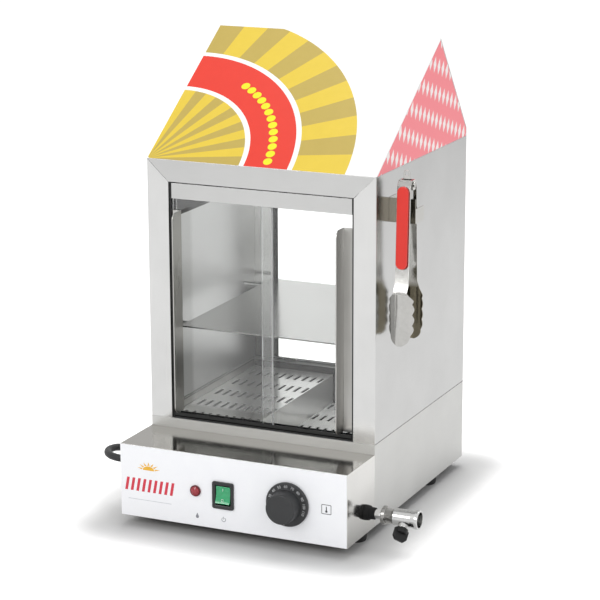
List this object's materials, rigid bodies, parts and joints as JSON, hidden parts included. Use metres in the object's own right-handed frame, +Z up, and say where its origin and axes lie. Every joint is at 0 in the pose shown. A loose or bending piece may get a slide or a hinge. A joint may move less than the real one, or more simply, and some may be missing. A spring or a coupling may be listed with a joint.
{
  "type": "hot dog steamer",
  "caption": "Countertop steamer: water tank base with control box and drain tap, glazed cabinet with sliding doors, shelf and slotted trays, pitched sign, serving tongs on a side hook.",
  "frame": {"origin": "on the worktop, under the middle of the outline from the left wall to the drain tap's mouth and from the knob to the rear sheet, without the mains cord", "axes": "+Z up, +X to the right and +Y to the back, seen from the front"},
  "size_m": [0.4059, 0.5251, 0.5288],
  "materials": {
    "brushed_steel": "fine brushed stainless sheet",
    "polished_steel": "polished stainless",
    "black_rubber": "matt",
    "black_plastic": "fine grain",
    "white_panel": "satin white film",
    "lamp_red": "clear red lens",
    "rocker_green": "translucent green",
    "grey_plastic": "moulded",
    "sensor_brass": "turned",
    "clear_glass": "clear toughened",
    "sign_print": "printed film on sheet",
    "sign_rose": "printed film on sheet",
    "grip_red": "dipped vinyl"
  },
  "bodies": {
    "steamer_body": {"base_housing": "brushed_steel", "base_floor": "brushed_steel", "water_tank": "brushed_steel", "control_box": "brushed_steel", "left_wall": "brushed_steel", "right_wall": "brushed_steel", "cabinet_top": "brushed_steel", "front_left_post": "brushed_steel", "front_right_post": "brushed_steel", "front_top_rail": "brushed_steel", "rear_frame": "brushed_steel", "upper_door_track": "brushed_steel", "tongs_bracket": "brushed_steel", "heating_element": "polished_steel", "thermostat_probe": "polished_steel", "drain_pipe": "polished_steel", "drain_nut": "polished_steel", "drain_body": "polished_steel", "shelf_rod_front": "polished_steel", "shelf_rod_rear": "polished_steel", "foot_front_left": "black_rubber", "foot_front_right": "black_rubber", "foot_rear_left": "black_rubber", "foot_rear_right": "black_rubber", "drain_grommet": "black_rubber", "mains_cord": "black_rubber", "cord_coil": "black_rubber", "left_door_seal": "black_rubber", "right_door_seal": "black_rubber", "signal_lamp_bezel": "black_plastic", "switch_housing": "black_plastic", "cable_gland": "black_plastic", "mains_plug": "black_plastic", "lower_door_track": "black_plastic", "control_panel": "white_panel", "signal_lamp_lens": "lamp_red", "thermostat_body": "grey_plastic", "low_water_sensor": "sensor_brass", "rear_glass": "clear_glass", "sign_front": "sign_print", "sign_back": "sign_print", "sign_left": "sign_rose", "sign_right": "sign_rose"},
    "left_door": {"left_door_glass": "clear_glass", "left_door_handle": "brushed_steel"},
    "right_door": {"right_door_glass": "clear_glass", "right_door_handle": "brushed_steel"},
    "thermostat_knob": {"thermostat_knob": "black_plastic"},
    "switch_rocker": {"switch_rocker": "rocker_green"},
    "drain_handle": {"drain_handle": "black_plastic"},
    "shelf": {"shelf": "brushed_steel"},
    "lower_tray": {"lower_tray": "brushed_steel"},
    "raised_tray": {"raised_tray": "brushed_steel"},
    "tongs": {"tongs_front_arm": "polished_steel", "tongs_front_grip": "grip_red", "tongs_pin": "polished_steel", "tongs_pull_tab": "polished_steel"},
    "tongs_rear_arm": {"tongs_rear_arm": "polished_steel", "tongs_rear_grip": "grip_red"}
  },
  "joints": [
    {"name": "left_door_slide", "type": "slide", "parent": "steamer_body", "child": "left_door", "axis": [1, 0, 0], "range_m": [0, 0.04]},
    {"name": "right_door_slide", "type": "slide", "parent": "steamer_body", "child": "right_door", "axis": [-1, 0, 0], "range_m": [0, 0.04]},
    {"name": "thermostat_turn", "type": "hinge", "parent": "steamer_body", "child": "thermostat_knob", "pos_m": [0.0363, -0.1636, 0.0535], "axis": [0, 1, 0], "range_deg": [0, 240]},
    {"name": "power_rocker_tip", "type": "hinge", "parent": "steamer_body", "child": "switch_rocker", "pos_m": [-0.0415, -0.1604, 0.052], "axis": [1, 0, 0], "range_deg": [0, 16]},
    {"name": "drain_handle_turn", "type": "hinge", "parent": "steamer_body", "child": "drain_handle", "pos_m": [0.15225, -0.1124, 0.0375], "axis": [0, -0.7071, -0.7071], "range_deg": [-45, 45]},
    {"name": "shelf_lift", "type": "slide", "parent": "steamer_body", "child": "shelf", "axis": [0, 0, 1], "range_m": [0, 0.05]},
    {"name": "lower_tray_lift", "type": "slide", "parent": "steamer_body", "child": "lower_tray", "axis": [0, 0, 1], "range_m": [0, 0.03]},
    {"name": "raised_tray_lift", "type": "slide", "parent": "lower_tray", "child": "raised_tray", "axis": [0, 0, 1], "range_m": [0, 0.05]},
    {"name": "tongs_lift", "type": "slide", "parent": "steamer_body", "child": "tongs", "axis": [0, 0, 1], "range_m": [0, 0.06]},
    {"name": "tongs_squeeze", "type": "hinge", "parent": "tongs", "child": "tongs_rear_arm", "pos_m": [0.1262, -0.051, 0.3917], "axis": [-1, 0, 0], "range_deg": [0, 6], "stiffness_Nm_per_rad": 0.1, "springref_deg": -8.59}
  ]
}
